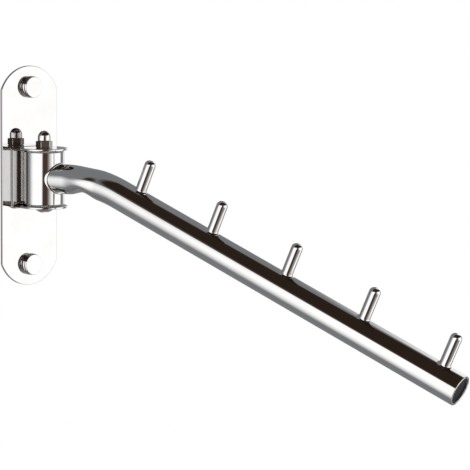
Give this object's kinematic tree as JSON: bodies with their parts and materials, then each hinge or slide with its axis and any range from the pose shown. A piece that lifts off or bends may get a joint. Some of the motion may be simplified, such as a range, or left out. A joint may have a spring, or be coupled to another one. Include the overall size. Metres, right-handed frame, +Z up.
{
  "type": "swing arm wall hook rack",
  "caption": "Wall rack for hangers: a sloping steel tube with upright hook pins swings on a hinge bracket in front of an oblong wall plate.",
  "frame": {"origin": "middle of the wall plate's back face, halfway between the two wall screws", "axes": "+X along the wall to the right as seen from the room, +Y into the wall, +Z up"},
  "size_m": [0.0911, 0.2776, 0.1565],
  "materials": {
    "polished_steel": "mirror polished stainless steel",
    "zinc_steel": "bright zinc plate",
    "black_plastic": "moulded, fine grain",
    "white_nylon": "moulded nylon"
  },
  "bodies": {
    "wall_mount": {"wall_plate": "polished_steel", "hinge_bracket": "polished_steel", "pivot_bolt": "polished_steel", "acorn_nut": "polished_steel", "upper_wall_screw": "zinc_steel", "upper_cap_base": "black_plastic", "upper_screw_cap": "polished_steel", "lower_wall_screw": "zinc_steel", "lower_cap_base": "black_plastic", "lower_screw_cap": "polished_steel"},
    "swing_arm": {"hinge_barrel": "polished_steel", "upper_bush": "white_nylon", "lower_bush": "white_nylon", "arm_tube": "polished_steel", "end_plug": "black_plastic", "hanger_pin_1": "polished_steel", "hanger_pin_2": "polished_steel", "hanger_pin_3": "polished_steel", "hanger_pin_4": "polished_steel", "hanger_pin_5": "polished_steel"}
  },
  "joints": [
    {"name": "arm_swing", "type": "hinge", "parent": "wall_mount", "child": "swing_arm", "pos_m": [0, -0.0139, 0], "axis": [0, 0, 1], "range_deg": [-105, 75]}
  ]
}
